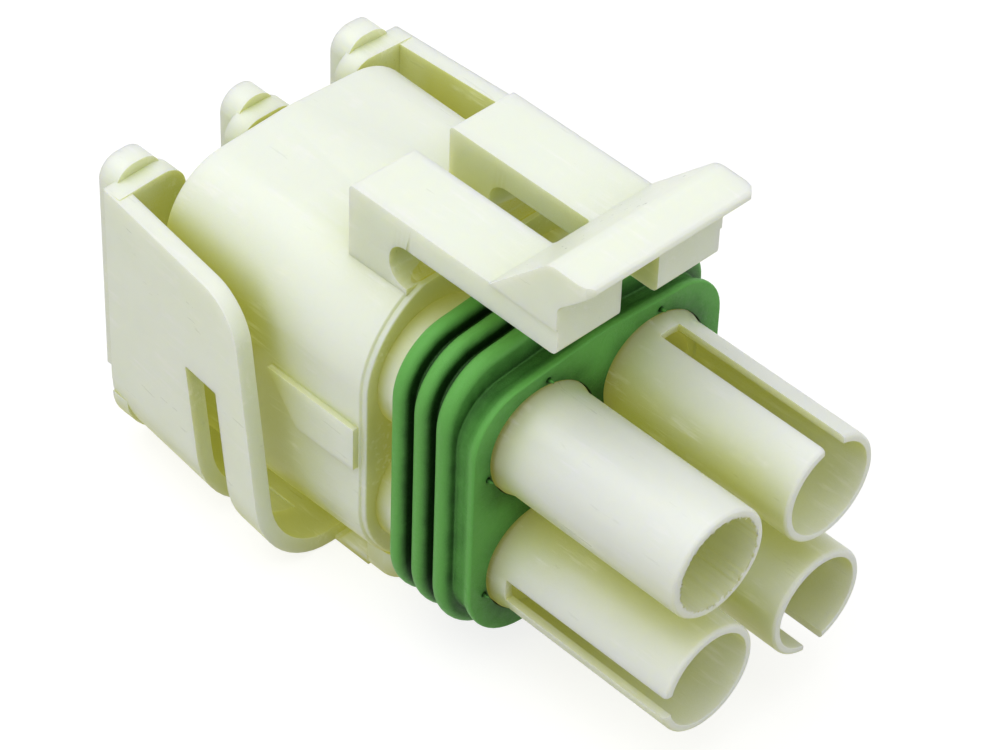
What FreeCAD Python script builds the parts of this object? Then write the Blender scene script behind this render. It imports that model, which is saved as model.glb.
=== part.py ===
import FreeCAD, Part
import os
import re
import math
import Sketcher

# Sealed four-way connector with a latch loop and a hinged rear lock.
# Origin: middle of the plane through the tower tips. +Y runs toward the wires, +Z toward the latch.

document = FreeCAD.newDocument("sealed_connector")
sheet = document.addObject("Spreadsheet::Sheet", "Sizes")

SIZES = (
    # Contact grid and towers
    ("pitch_x", 8.0, "contact spacing across"),
    ("pitch_z", 8.1, "contact spacing up"),
    ("tower_radius", 3.2, "outside radius of a tower"),
    ("tower_shoulder", 12.0, "where a tower thickens toward its root"),
    ("tower_root_radius", 3.38, "outside radius of a tower inside the seal"),
    ("tower_bore", 2.73, "radius of a tower's mouth"),
    ("tower_bore_depth", 12.0, "depth of the wide mouth"),
    ("rim_bevel", 0.2, "bevel of a tower's rim"),
    ("key_slot_width", 1.4, "width of a keying slot"),
    ("key_slot_length", 11.4, "length of a keying slot from the tip"),
    ("boss_radius", 3.9, "radius of the boss at a tower's root"),
    ("cavity_bore", 2.2, "radius of a contact cavity"),
    ("cavity_end", 27.0, "where a cavity opens into the rear bore"),
    ("rear_bore", 2.6, "radius of a rear bore"),
    # Interface seal
    ("seal_front", 12.3, "front face of the seal"),
    ("seal_rear", 18.4, "rear face of the seal"),
    ("flange_thickness", 0.5, "thickness of the front flange"),
    ("flange_overhang", 0.12, "how far the flange stands out past the body's sides"),
    ("flange_lift", 0.35, "how much higher the flange's lower edge is than the ribs'"),
    ("flange_drop", 0.87, "how much lower the flange's upper edge is than the ribs'"),
    ("valley_front", 13.3, "front of the shallow valley behind the flange"),
    ("valley_depth", 0.25, "depth of that valley below the flange's edge"),
    ("seal_rise", 0.15, "extra half height of the seal's outline over its half width"),
    ("seal_bow", 0.75, "how far the top and bottom bulge at the middle"),
    ("rib_overhang", 0.5, "how far a rib's crest stands out past the body's sides"),
    ("rib_depth", 0.85, "depth of the groove between two ribs"),
    ("rib_first", 14.4, "crest of the first rib"),
    ("rib_spacing", 1.6, "spacing of the rib crests"),
    ("rib_flat", 0.2, "half width of a rib's crest"),
    ("rib_shoulder", 0.44, "half width of a rib where its crest rounds off"),
    ("rib_foot", 0.55, "half width of a rib at its foot"),
    ("rib_round", 0.25, "how far below the crest the rounding starts"),
    ("seal_corner", 3.6, "upper corner radius of the seal's outline"),
    ("seal_lift", 0.45, "how much lower the half height is underneath than the half width"),
    ("seal_low_corner", 4.6, "lower corner radius of the seal's outline"),
    ("seal_pocket_radius", 3.75, "radius of the relief around a tower"),
    ("seal_pocket_depth", 1.5, "depth of that relief"),
    ("seal_clearance", 0.05, "gap between the seal's bores and the towers"),
    # Body
    ("body_front", 20.4, "front face of the body"),
    ("body_rear", 36.0, "rear face of the body"),
    ("body_half_width", 8.75, "half width of the body"),
    ("body_apex", 10.9, "half height at the middle of the front outline, before rounding"),
    ("body_shoulder", 8.6, "half height at the side of the front outline, before rounding"),
    ("body_corner", 5.8, "corner radius of the front outline"),
    ("bulge_round", 14.0, "rounding at the middle of a bulging top or bottom"),
    ("rear_apex", 9.4, "half height at the middle of the rear outline"),
    ("rear_shoulder", 8.9, "half height at the side of the rear outline"),
    ("rear_corner", 4.2, "corner radius of the rear outline"),
    ("lip_inset", 0.12, "how far the front lip steps in"),
    ("lip_thickness", 0.35, "thickness of the front lip"),
    ("belly_flat", 9.2, "height of the flat under the body, below the middle"),
    ("rail_height", 0.35, "how far a side rail stands out"),
    ("rail_front", 20.9, "front end of a side rail"),
    ("rail_rear", 27.5, "rear end of a side rail along its top"),
    ("rail_top", 1.8, "top of a side rail"),
    ("rail_bottom", 1.0, "bottom of a side rail, below the middle"),
    ("rail_slant", 2.2, "length of the slanted end"),
    # Hinge block and strap
    ("block_half_width", 6.7, "half width of the front block and the strap"),
    ("block_front", 19.9, "front face of the front block"),
    ("block_rear", 22.3, "rear face of the front block"),
    ("block_top", 8.6, "top of the front block, below the middle"),
    ("block_round", 1.2, "rounding of the front block's front corners"),
    ("strap_bottom", 10.4, "underside of the strap, below the middle"),
    ("strap_thickness", 0.6, "thickness of the strap"),
    ("strap_gap", 0.3, "length left for the living hinge"),
    # Latch loop
    ("arm_outer", 5.68, "outer face of an arm from the middle"),
    ("arm_inner", 1.3, "inner face of an arm from the middle"),
    ("arm_top", 13.77, "top of the arms"),
    ("arm_thickness", 1.7, "thickness of an arm"),
    ("arm_front", 10.06, "front face of the lock blocks"),
    ("arm_corner", 0.5, "rounding of a lock block's lower edge"),
    ("pedestal_front", 22.0, "rear end of the recess under an arm"),
    ("pedestal_rear", 25.0, "rear face of the pedestals"),
    ("recess_floor", 9.5, "floor of the recess under the arms"),
    ("recess_round", 1.2, "rounding at the recess's rear end"),
    ("tab_foot", 14.8, "where the tab's ramp starts on the arms"),
    ("tab_crest_y", 10.7, "rear edge of the tab's flat top"),
    ("tab_crest_z", 17.65, "height of the tab's flat top"),
    ("tab_crest_round", 1.0, "rounding of that rear edge"),
    ("tab_tip_y", 8.0, "front edge of the tab"),
    ("tab_edge", 0.45, "thickness of the tab's front edge"),
    ("tab_half_width", 5.8, "half width of the tab"),
    ("tab_corner", 0.8, "rounding of the tab's front corners"),
    ("tab_root_z", 15.2, "where the tab's underside meets the lock blocks"),
    ("tunnel_roof", 15.0, "roof of the gap under the tab"),
    ("tab_skin", 1.1, "upright thickness of the ramp over the gap"),
    # Rear lock
    ("wall_front", 24.8, "front edge of the lock at its bottom"),
    ("wall_front_top", 27.4, "front edge of a side wall at its top"),
    ("wall_rear", 38.7, "rear end of the side walls"),
    ("wall_half_front", 11.8, "outer half width of the lock at its front"),
    ("wall_half_rear", 10.5, "outer half width of the lock at its rear"),
    ("wall_thickness", 1.05, "thickness of a side wall"),
    ("wall_top_front", 7.1, "top of the side walls at the front"),
    ("wall_top_rear", 7.65, "top of the side walls at the rear"),
    ("wall_top_round", 3.0, "rounding of a wall's front top corner"),
    ("lock_bottom_front", 10.4, "underside of the lock at its front, below the middle"),
    ("lock_bottom_rear", 10.4, "underside of the lock at its rear, below the middle"),
    ("lock_floor_thickness", 0.8, "thickness of the lock's bottom wall"),
    ("lock_corner", 4.8, "outer radius of the lock's lower corners"),
    ("window_front", 29.0, "front edge of a side window"),
    ("window_rear", 31.7, "rear edge of a side window"),
    ("window_top", 0.3, "top edge of a side window"),
    ("window_bottom", 9.7, "bottom edge of a side window, below the middle"),
    ("window_reach", 7.2, "inner end of a side window at the bottom wall, from the middle"),
    ("finger_plate_half", 2.1, "half width of a finger's front plate"),
    ("finger_plate_front", 37.5, "front face of the finger plates"),
    ("finger_plate_top", 7.85, "top of the finger plates"),
    ("finger_plate_round", 1.5, "rounding of a finger plate's top corners"),
    ("finger_rib_half", 1.3, "half width of a finger's rear rib"),
    ("finger_rib_rear", 40.0, "rear face of the ribs"),
    ("outer_rib_reach", 0.45, "how much further out the outer ribs reach"),
    ("finger_rib_top", 8.4, "top of the ribs"),
    ("finger_rib_round", 1.2, "rounding of a rib's top corners"),
    ("slot_floor", 6.6, "floor of the wire slots, below the middle"),
    # Contacts
    ("pin_tip", 3.2, "tip of a contact behind the tower's tip"),
    ("pin_radius", 0.75, "radius of a contact's pin"),
    ("pin_taper", 0.9, "length of a pin's tapered nose"),
    ("pin_nose_radius", 0.35, "radius of the nose's end"),
    ("collar_front", 15.0, "front of a contact's collar"),
    ("collar_length", 2.5, "length of a contact's collar"),
    ("collar_clearance", 0.05, "gap between a collar and its cavity"),
    ("shank_radius", 1.6, "radius of a contact's shank"),
    ("shank_length", 5.5, "length of a contact's shank"),
    ("crimp_radius", 1.2, "radius of the wire crimp"),
    ("crimp_length", 4.0, "length of the wire crimp"),
    ("crimp_bore", 0.7, "radius of the hole in the crimp"),
    # Cable seals
    ("cable_seal_recess", 0.3, "how far a cable seal sits inside its bore"),
    ("cable_seal_length", 6.0, "length of a cable seal"),
    ("cable_seal_clearance", 0.05, "gap between a cable seal's ribs and its bore"),
    ("cable_seal_groove", 0.45, "depth of a cable seal's grooves"),
    ("cable_rib_length", 1.2, "length of a cable seal's rib"),
    ("wire_radius", 1.0, "radius of the wire's hole"),
)

for row, (name, value, _) in enumerate(SIZES, start=1):
    sheet.set("A%d" % row, name)
    sheet.set("B%d" % row, str(value))
    sheet.setAlias("B%d" % row, name)
document.recompute()

NAMES = {name for name, _, _ in SIZES}
WORD = re.compile(r"[a-z_]+")
FRONT_TO_REAR = FreeCAD.Rotation(FreeCAD.Vector(1, 0, 0), -90)
SEAM_CLEAR_OF_SLOTS = FRONT_TO_REAR * FreeCAD.Rotation(FreeCAD.Vector(0, 0, 1), 40)
ACROSS = FreeCAD.Rotation(FreeCAD.Vector(1, 0, 0), 90)
SIDEWAYS = FreeCAD.Rotation(FreeCAD.Vector(1, 1, 1), 120)
OVERRUN = 1.0
RIM_SEARCH = 0.01


def bound(expression):
    """The expression with each size name pointing at the sheet."""
    def point(found):
        word = found.group(0)
        return "Sizes." + word if word in NAMES else word
    return WORD.sub(point, str(expression))


def value(expression):
    """What the expression comes to now."""
    return float(sheet.evalExpression(bound(expression)))


def bind(item, **expressions):
    """Bind properties of a document object to expressions in the sheet's names."""
    for name, expression in expressions.items():
        item.setExpression(name, bound(expression))
    return item


def place(item, x="0", y="0", z="0", rotation=None):
    """Put an object somewhere, with its place bound to the sheet."""
    if rotation is not None:
        item.Placement = FreeCAD.Placement(FreeCAD.Vector(), rotation)
    for axis, expression in (("x", x), ("y", y), ("z", z)):
        item.setExpression(".Placement.Base." + axis, bound(expression))
    return item


def box(name, x, y, z):
    """A box between two expressions along each axis."""
    item = document.addObject("Part::Box", name)
    for size, (low, high) in (("Length", x), ("Width", y), ("Height", z)):
        item.setExpression(size, bound("(%s) - (%s)" % (high, low)))
    return place(item, x[0], y[0], z[0])


def rod(name, radius, y, x="0", z="0", rotation=FRONT_TO_REAR):
    """A cylinder along Y between two expressions."""
    item = document.addObject("Part::Cylinder", name)
    item.setExpression("Radius", bound(radius))
    item.setExpression("Height", bound("(%s) - (%s)" % (y[1], y[0])))
    return place(item, x, y[0], z, rotation)


def bevelled_rim(name, post):
    """The post with its front rim bevelled."""
    item = document.addObject("Part::Chamfer", name)
    item.Base = post
    rim = next(order for order, edge in enumerate(post.Shape.Edges, start=1)
               if len(edge.Vertexes) == 1 and abs(edge.CenterOfMass.y - post.Placement.Base.y) < RIM_SEARCH)
    item.Edges = [(rim, value("rim_bevel"), value("rim_bevel"))]
    return item


def fuse(name, pieces):
    item = document.addObject("Part::MultiFuse", name)
    item.Shapes = pieces
    return item


def cut(name, base, tool):
    item = document.addObject("Part::Cut", name)
    item.Base = base
    item.Tool = tool
    return item


def common(name, base, tool):
    item = document.addObject("Part::Common", name)
    item.Base = base
    item.Tool = tool
    return item


def outline(sketch, corners):
    """Draw a closed outline. A corner is (across, up) or (across, up, rounding), all of them expressions."""
    count = len(corners)
    points = [FreeCAD.Vector(value(corner[0]), value(corner[1]), 0) for corner in corners]
    rounds = [corner[2] if len(corner) == 3 else None for corner in corners]
    starts, ends, arcs = list(points), list(points), {}
    for index, rounding in enumerate(rounds):
        if rounding is None:
            continue
        here = points[index]
        back = (points[index - 1] - here).normalize()
        ahead = (points[(index + 1) % count] - here).normalize()
        half = back.getAngle(ahead) / 2
        radius = value(rounding)
        reach = radius / math.tan(half)
        ends[index] = here + back * reach
        starts[index] = here + ahead * reach
        centre = here + (back + ahead).normalize() * (radius / math.sin(half))
        middle = centre + (here - centre).normalize() * radius
        arcs[index] = Part.Arc(ends[index], middle, starts[index])
    lines = []
    for index in range(count):
        segment = Part.LineSegment(starts[index], ends[(index + 1) % count])
        lines.append(sketch.addGeometry(segment, False))
    for index, corner in enumerate(corners):
        before, after = lines[index - 1], lines[index]
        if rounds[index] is None:
            sketch.addConstraint(Sketcher.Constraint("Coincident", before, 2, after, 1))
            pinned, spot = after, 1
        else:
            bend = sketch.addGeometry(arcs[index], False)
            turns_left = (points[index] - points[index - 1]).cross(
                points[(index + 1) % count] - points[index]).z > 0
            first, last = (1, 2) if turns_left else (2, 1)
            sketch.addConstraint(Sketcher.Constraint("Tangent", before, 2, bend, first))
            sketch.addConstraint(Sketcher.Constraint("Tangent", bend, last, after, 1))
            ruler = sketch.addConstraint(Sketcher.Constraint("Radius", bend, value(rounds[index])))
            sketch.setExpression("Constraints[%d]" % ruler, bound(rounds[index]))
            pinned = sketch.addGeometry(Part.Point(points[index]), True)
            spot = 1
            sketch.addConstraint(Sketcher.Constraint("PointOnObject", pinned, 1, before))
            sketch.addConstraint(Sketcher.Constraint("PointOnObject", pinned, 1, after))
        for kind, expression in (("DistanceX", corner[0]), ("DistanceY", corner[1])):
            ruler = sketch.addConstraint(Sketcher.Constraint(kind, -1, 1, pinned, spot, value(expression)))
            sketch.setExpression("Constraints[%d]" % ruler, bound(expression))
    return sketch


def section(name, y, corners):
    """An outline across the connector at one place along it."""
    sketch = document.addObject("Sketcher::SketchObject", name)
    place(sketch, y=y, rotation=ACROSS)
    return outline(sketch, corners)


def plate(name, y, corners):
    """An outline across the connector, extruded from front to rear."""
    item = document.addObject("Part::Extrusion", name)
    item.Base = section(name + "_outline", y[0], corners)
    item.DirMode = "Custom"
    item.Dir = FreeCAD.Vector(0, 1, 0)
    item.Solid = True
    return bind(item, LengthFwd="(%s) - (%s)" % (y[1], y[0]))


def side_plate(name, x, corners):
    """An outline seen from the side, in front-to-rear and up places, extruded across."""
    sketch = document.addObject("Sketcher::SketchObject", name + "_profile")
    place(sketch, x=x[0], rotation=SIDEWAYS)
    item = document.addObject("Part::Extrusion", name)
    item.Base = outline(sketch, corners)
    item.DirMode = "Custom"
    item.Dir = FreeCAD.Vector(1, 0, 0)
    item.Solid = True
    return bind(item, LengthFwd="(%s) - (%s)" % (x[1], x[0]))


def footprint(name, z, corners):
    """An outline seen from above, extruded up."""
    sketch = document.addObject("Sketcher::SketchObject", name + "_profile")
    place(sketch, z=z[0])
    item = document.addObject("Part::Extrusion", name)
    item.Base = outline(sketch, corners)
    item.DirMode = "Custom"
    item.Dir = FreeCAD.Vector(0, 0, 1)
    item.Solid = True
    return bind(item, LengthFwd="(%s) - (%s)" % (z[1], z[0]))


def loft(name, stations):
    """A solid through outlines at several places along the connector."""
    item = document.addObject("Part::Loft", name)
    item.Sections = [section("%s_outline_%d" % (name, order), y, corners)
                     for order, (y, corners) in enumerate(stations, start=1)]
    item.Solid = True
    item.Ruled = True
    return item


def turned(name, profile):
    """A body turned about its own axis from a profile of (radius, place along) corners."""
    body = document.addObject("PartDesign::Body", name)
    plane = next(part for part in body.Origin.OriginFeatures if part.Role == "XZ_Plane")
    sketch = body.newObject("Sketcher::SketchObject", name + "_profile")
    sketch.AttachmentSupport = [(plane, "")]
    sketch.MapMode = "FlatFace"
    outline(sketch, profile)
    turn = body.newObject("PartDesign::Revolution", name + "_turn")
    turn.Profile = sketch
    turn.ReferenceAxis = (sketch, ["V_Axis"])
    turn.Angle = 360
    return body


def bulged(half_width, shoulder, apex, corner, low_shoulder=None, low_apex=None, low_corner=None):
    """Corners of an outline with flat sides and bulging top and bottom, alike unless the low ones are given."""
    low_shoulder, low_apex, low_corner = low_shoulder or shoulder, low_apex or apex, low_corner or corner
    return [
        (half_width, shoulder, corner),
        ("0", apex, "bulge_round"),
        ("-(%s)" % half_width, shoulder, corner),
        ("-(%s)" % half_width, "-(%s)" % low_shoulder, low_corner),
        ("0", "-(%s)" % low_apex, "bulge_round"),
        (half_width, "-(%s)" % low_shoulder, low_corner),
    ]


CAVITIES = [(side, level) for level in (1, -1) for side in (-1, 1)]


def at_cavity(side, level):
    """Centre of a contact cavity."""
    return "%d * pitch_x / 2" % side, "%d * pitch_z / 2" % level


# Towers with their keying slots
towers, bores, slots = [], [], []
for number, (side, level) in enumerate(CAVITIES, start=1):
    x, z = at_cavity(side, level)
    tower = rod("Tower_rod_%d" % number, "tower_radius", ("0", "body_front + lip_thickness"), x, z,
                SEAM_CLEAR_OF_SLOTS)
    document.recompute()
    towers.append(bevelled_rim("Tower_%d" % number, tower))
    towers.append(rod("Tower_root_%d" % number, "tower_root_radius",
                      ("tower_shoulder", "body_front + lip_thickness"), x, z))
    towers.append(rod("Boss_%d" % number, "boss_radius", ("seal_rear", "body_front + lip_thickness"), x, z))
    bores.append(rod("Mouth_%d" % number, "tower_bore", ("-%g" % OVERRUN, "tower_bore_depth"), x, z))
    bores.append(rod("Cavity_%d" % number, "cavity_bore", ("0", "cavity_end"), x, z))
    bores.append(rod("Rear_bore_%d" % number, "rear_bore", ("cavity_end", "body_rear + %g" % OVERRUN), x, z))

# Keying slots: upper right tower at the top, lower left at the outside, lower right underneath
left, right = "-pitch_x / 2", "pitch_x / 2"
high, low = "pitch_z / 2", "-pitch_z / 2"
slot_y = ("-%g" % OVERRUN, "key_slot_length")
half_slot = "key_slot_width / 2"
inside = "cavity_bore / 2"
outside = "(tower_radius + %g)" % (OVERRUN / 2)
slots.append(box("Slot_upper_right", (right + " - " + half_slot, right + " + " + half_slot), slot_y,
                 (high + " + " + inside, high + " + " + outside)))
slots.append(box("Slot_lower_left", (left + " - " + outside, left + " - " + inside), slot_y,
                 (low + " - " + half_slot, low + " + " + half_slot)))
slots.append(box("Slot_lower_right", (right + " - " + half_slot, right + " + " + half_slot), slot_y,
                 (low + " - " + outside, low + " - " + inside)))

# Body: a thin lip at the front, then a shell that tapers to the rear
shell = loft("Body_shell", [
    ("body_front + lip_thickness", bulged("body_half_width", "body_shoulder", "body_apex", "body_corner")),
    ("body_rear", bulged("body_half_width", "rear_shoulder", "rear_apex", "rear_corner")),
])
lip = plate("Front_lip", ("body_front", "body_front + lip_thickness"),
            bulged("body_half_width - lip_inset", "body_shoulder - lip_inset", "body_apex - lip_inset",
                   "body_corner"))
belly = box("Belly_cut", ("-body_half_width * 2", "body_half_width * 2"),
            ("body_front - %g" % OVERRUN, "body_rear + %g" % OVERRUN),
            ("-body_apex * 2", "-belly_flat"))
body = cut("Body_outside", fuse("Shell_and_lip", [shell, lip]), belly)

rails = []
for name, x in (("Rail_left", ("-body_half_width - rail_height", "-body_half_width + rail_height")),
                ("Rail_right", ("body_half_width - rail_height", "body_half_width + rail_height"))):
    rails.append(side_plate(name, x, [
        ("rail_front", "-rail_bottom"),
        ("rail_rear - rail_slant", "-rail_bottom"),
        ("rail_rear", "rail_top"),
        ("rail_front", "rail_top"),
    ]))

# Two latch pedestals over a recess with a rounded rear end, front block and the strap of the rear lock
arm_root = "pedestal_front - recess_round"
pedestals = [box("Pedestal_" + name, x, (arm_root, "pedestal_rear"),
                 ("body_shoulder - body_corner / 2", "arm_top"))
             for name, x in (("left", ("-arm_outer", "-arm_inner")), ("right", ("arm_inner", "arm_outer")))]
recess = side_plate("Latch_recess", ("-arm_outer", "arm_outer"), [
    ("body_front - %g" % OVERRUN, "recess_floor"),
    ("pedestal_front", "recess_floor", "recess_round"),
    ("pedestal_front", "arm_top - arm_thickness", "recess_round"),
    ("body_front - %g" % OVERRUN, "arm_top - arm_thickness"),
])
front_block = footprint("Front_block", ("-strap_bottom", "-block_top"), [
    ("-block_half_width", "block_front", "block_round"),
    ("block_half_width", "block_front", "block_round"),
    ("block_half_width", "block_rear"),
    ("-block_half_width", "block_rear"),
])
strap = box("Strap", ("-block_half_width", "block_half_width"),
            ("body_front + lip_thickness", "wall_front - strap_gap"),
            ("-strap_bottom", "-strap_bottom + strap_thickness"))

solid = fuse("Housing_solid", towers + rails + pedestals + [body, front_block, strap])
housing = cut("Housing_part", solid, fuse("Housing_holes", bores + slots + [recess]))

# Latch loop: two arms ending in lock blocks, bridged by the finger tab, with the gap open to the rear
tab_side = side_plate("Tab_side", ("-tab_half_width", "tab_half_width"), [
    ("tab_foot", "arm_top"),
    ("tab_crest_y", "tab_crest_z", "tab_crest_round"),
    ("tab_tip_y", "tab_crest_z", "tab_edge / 3"),
    ("tab_tip_y", "tab_crest_z - tab_edge"),
    ("arm_front", "tab_root_z"),
    ("arm_front", "arm_top"),
])
tab_plan = footprint("Tab_plan", ("arm_top - %g" % OVERRUN, "tab_crest_z + %g" % OVERRUN), [
    ("-tab_half_width", "tab_tip_y", "tab_corner"),
    ("tab_half_width", "tab_tip_y", "tab_corner"),
    ("tab_half_width", "tab_foot + %g" % OVERRUN),
    ("-tab_half_width", "tab_foot + %g" % OVERRUN),
])
tab = common("Tab", tab_side, tab_plan)
arms = side_plate("Arms", ("-arm_outer", "arm_outer"), [
    ("arm_front", "arm_top - arm_thickness", "arm_corner"),
    (arm_root, "arm_top - arm_thickness"),
    (arm_root, "arm_top"),
    ("tab_foot", "arm_top"),
    ("tab_crest_y", "tab_root_z"),
    ("arm_front", "tab_root_z"),
])
gap = box("Loop_gap", ("-arm_inner", "arm_inner"), ("tab_foot", arm_root + " + %g" % OVERRUN),
          ("arm_top - arm_thickness - %g" % OVERRUN, "arm_top + %g" % OVERRUN))
tunnel = side_plate("Tab_tunnel", ("-arm_inner", "arm_inner"), [
    ("arm_front - %g" % OVERRUN, "arm_top - arm_thickness - %g" % OVERRUN),
    ("tab_foot", "arm_top - arm_thickness - %g" % OVERRUN),
    ("tab_foot", "arm_top - tab_skin"),
    ("tab_foot - (tunnel_roof - arm_top + tab_skin)", "tunnel_roof"),
    ("arm_front - %g" % OVERRUN, "tunnel_roof"),
])
latch_loop = cut("Latch_part", fuse("Latch_solid", [tab, arms]), fuse("Latch_holes", [gap, tunnel]))


def channel(name, front, rear, inset, floor, corner, top):
    """A U-shaped channel that narrows and rises toward the rear."""
    def corners(half, bottom):
        return [
            ("-(%s)" % half, "-(%s)" % bottom, corner),
            ("%s" % half, "-(%s)" % bottom, corner),
            ("%s" % half, top),
            ("-(%s)" % half, top),
        ]
    return loft(name, [
        (front, corners("wall_half_front - " + inset, "lock_bottom_front - " + floor)),
        (rear, corners("wall_half_rear - " + inset, "lock_bottom_rear - " + floor)),
    ])


# Rear lock: side walls, bottom wall, cross wall and three fingers
outer = channel("Lock_outside", "wall_front", "wall_rear", "0", "0", "lock_corner",
                "wall_top_rear + %g" % OVERRUN)
inner = channel("Lock_inside", "wall_front", "wall_rear", "wall_thickness", "lock_floor_thickness",
                "lock_corner - wall_thickness", "wall_top_rear + %g" % (2 * OVERRUN))
silhouette = side_plate("Lock_silhouette", ("-wall_half_front * 2", "wall_half_front * 2"), [
    ("wall_front", "-lock_bottom_front * 2"),
    ("wall_rear", "-lock_bottom_front * 2"),
    ("wall_rear", "wall_top_rear"),
    ("wall_front_top", "wall_top_front", "wall_top_round"),
    ("wall_front", "-lock_bottom_front"),
])
walls = common("Lock_walls", cut("Lock_channel", outer, inner), silhouette)
lean = "(wall_front_top - wall_front) / (wall_top_front + lock_bottom_front) * (window_top + window_bottom)"
window_corners = [
    ("window_front - " + lean, "-window_bottom"),
    ("window_rear - " + lean, "-window_bottom"),
    ("window_rear", "window_top"),
    ("window_front", "window_top"),
]
windows = [side_plate("Window_" + name, x, window_corners)
           for name, x in (("left", ("-wall_half_front * 2", "-window_reach")),
                           ("right", ("window_reach", "wall_half_front * 2")))]
windowed = cut("Lock_windowed", walls, fuse("Windows", windows))
cross_wall = plate("Cross_wall", ("finger_plate_front", "wall_rear"), [
    ("-wall_half_rear", "-lock_bottom_rear", "lock_corner"),
    ("wall_half_rear", "-lock_bottom_rear", "lock_corner"),
    ("wall_half_rear", "-slot_floor"),
    ("-wall_half_rear", "-slot_floor"),
])
fingers = []
for name, x, reach_left, reach_right in (("left", "-pitch_x", "outer_rib_reach", "0"), ("middle", "0", "0", "0"),
                                         ("right", "pitch_x", "0", "outer_rib_reach")):
    for kind, half, top, rounding, y in (
            ("plate", "finger_plate_half", "finger_plate_top", "finger_plate_round",
             ("finger_plate_front", "wall_rear")),
            ("rib", "finger_rib_half", "finger_rib_top", "finger_rib_round",
             ("wall_rear", "finger_rib_rear"))):
        foot = "-lock_bottom_rear" if name == "middle" else "-lock_bottom_rear + lock_corner"
        left_side, right_side = "%s - %s" % (x, half), "%s + %s" % (x, half)
        left_top, right_top = (left_side, top, rounding), (right_side, top, rounding)
        if kind == "rib":
            left_side += " - " + reach_left
            right_side += " + " + reach_right
            left_top, right_top = (left_side, top, rounding), (right_side, top, rounding)
        elif name == "left":
            left_side = "-wall_half_rear + wall_thickness / 2"
            left_top = (left_side, "wall_top_rear")
        elif name == "right":
            right_side = "wall_half_rear - wall_thickness / 2"
            right_top = (right_side, "wall_top_rear")
        fingers.append(plate("Finger_%s_%s" % (kind, name), y, [
            (left_side, foot),
            (right_side, foot),
            right_top,
            left_top,
        ]))
rear_lock = fuse("Lock_part", [windowed, cross_wall] + fingers)


def seal_outline(inset, lift="0", drop="0"):
    """Outline of the seal, set in from a rib's crest, with its lower edge lifted and its upper one dropped."""
    half = "body_half_width + rib_overhang - (%s)" % inset
    low = "%s - seal_lift - (%s)" % (half, lift)
    high = "%s + seal_rise - (%s)" % (half, drop)
    return bulged(half, high, high + " + seal_bow", "seal_corner - (%s)" % inset,
                  low, low + " + seal_bow", "seal_low_corner - (%s)" % inset)


# Interface seal: front flange with a shallow valley behind it, three ribs and the grooves between them
flange_inset = "rib_overhang - flange_overhang"
flange = seal_outline(flange_inset, "flange_lift", "flange_drop")
valley = seal_outline(flange_inset + " + valley_depth", "flange_lift", "flange_drop")
stations = [
    ("seal_front", flange),
    ("seal_front + flange_thickness", flange),
    ("valley_front", valley),
]
for order in range(3):
    crest = "rib_first + %d * rib_spacing" % order
    stations += [
        (crest + " - rib_foot", seal_outline("rib_depth") if order else valley),
        (crest + " - rib_shoulder", seal_outline("rib_round")),
        (crest + " - rib_flat", seal_outline("0")),
        (crest + " + rib_flat", seal_outline("0")),
        (crest + " + rib_shoulder", seal_outline("rib_round")),
        (crest + " + rib_foot", seal_outline("rib_depth")),
    ]
stations.append(("seal_rear", seal_outline("rib_depth")))
seal_solid = loft("Seal_outside", stations)
seal_holes = []
for number, (side, level) in enumerate(CAVITIES, start=1):
    x, z = at_cavity(side, level)
    seal_holes.append(rod("Seal_hole_%d" % number, "tower_root_radius + seal_clearance",
                          ("seal_front", "seal_rear + %g" % OVERRUN), x, z))
    seal_holes.append(rod("Seal_pocket_%d" % number, "seal_pocket_radius",
                          ("seal_front - %g" % OVERRUN, "seal_front + seal_pocket_depth"), x, z))
interface_seal = cut("Seal_part", seal_solid, fuse("Seal_holes", seal_holes))

# Contacts: pin, collar, shank and an open crimp barrel, along the cavity from the tip
shank_end = "collar_front + collar_length + shank_length"
contact_profile = [
    ("0", "pin_tip"),
    ("pin_nose_radius", "pin_tip"),
    ("pin_radius", "pin_tip + pin_taper"),
    ("pin_radius", "collar_front"),
    ("cavity_bore - collar_clearance", "collar_front"),
    ("cavity_bore - collar_clearance", "collar_front + collar_length"),
    ("shank_radius", "collar_front + collar_length"),
    ("shank_radius", shank_end),
    ("crimp_radius", shank_end),
    ("crimp_radius", shank_end + " + crimp_length"),
    ("crimp_bore", shank_end + " + crimp_length"),
    ("crimp_bore", shank_end),
    ("0", shank_end),
]

# Cable seals: three ribs around a wire hole
seal_radius = "rear_bore - cable_seal_clearance"
groove_radius = seal_radius + " - cable_seal_groove"
groove = "(cable_seal_length - 3 * cable_rib_length) / 2"
cable_seal_front = "body_rear - cable_seal_recess - cable_seal_length"
cable_seal_profile = [("wire_radius", cable_seal_front)]
for order in range(3):
    start = "%s + %d * (cable_rib_length + %s)" % (cable_seal_front, order, groove)
    if order:
        cable_seal_profile.append((groove_radius, start))
    cable_seal_profile.append((seal_radius, start))
    cable_seal_profile.append((seal_radius, start + " + cable_rib_length"))
    if order < 2:
        cable_seal_profile.append((groove_radius, start + " + cable_rib_length"))
cable_seal_profile.append(("wire_radius", "body_rear - cable_seal_recess"))

nodes = {
    "housing": housing,
    "latch_loop": latch_loop,
    "rear_lock": rear_lock,
    "interface_seal": interface_seal,
}
for number, (side, level) in enumerate(CAVITIES, start=1):
    x, z = at_cavity(side, level)
    for kind, profile in (("contact_pin", contact_profile), ("cable_seal", cable_seal_profile)):
        name = "%s_%d" % (kind, number)
        nodes[name] = place(turned("%s_%d_body" % (kind, number), profile), x, "0", z, FRONT_TO_REAR)

for name, node in nodes.items():
    node.Label = name
document.recompute()

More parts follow.
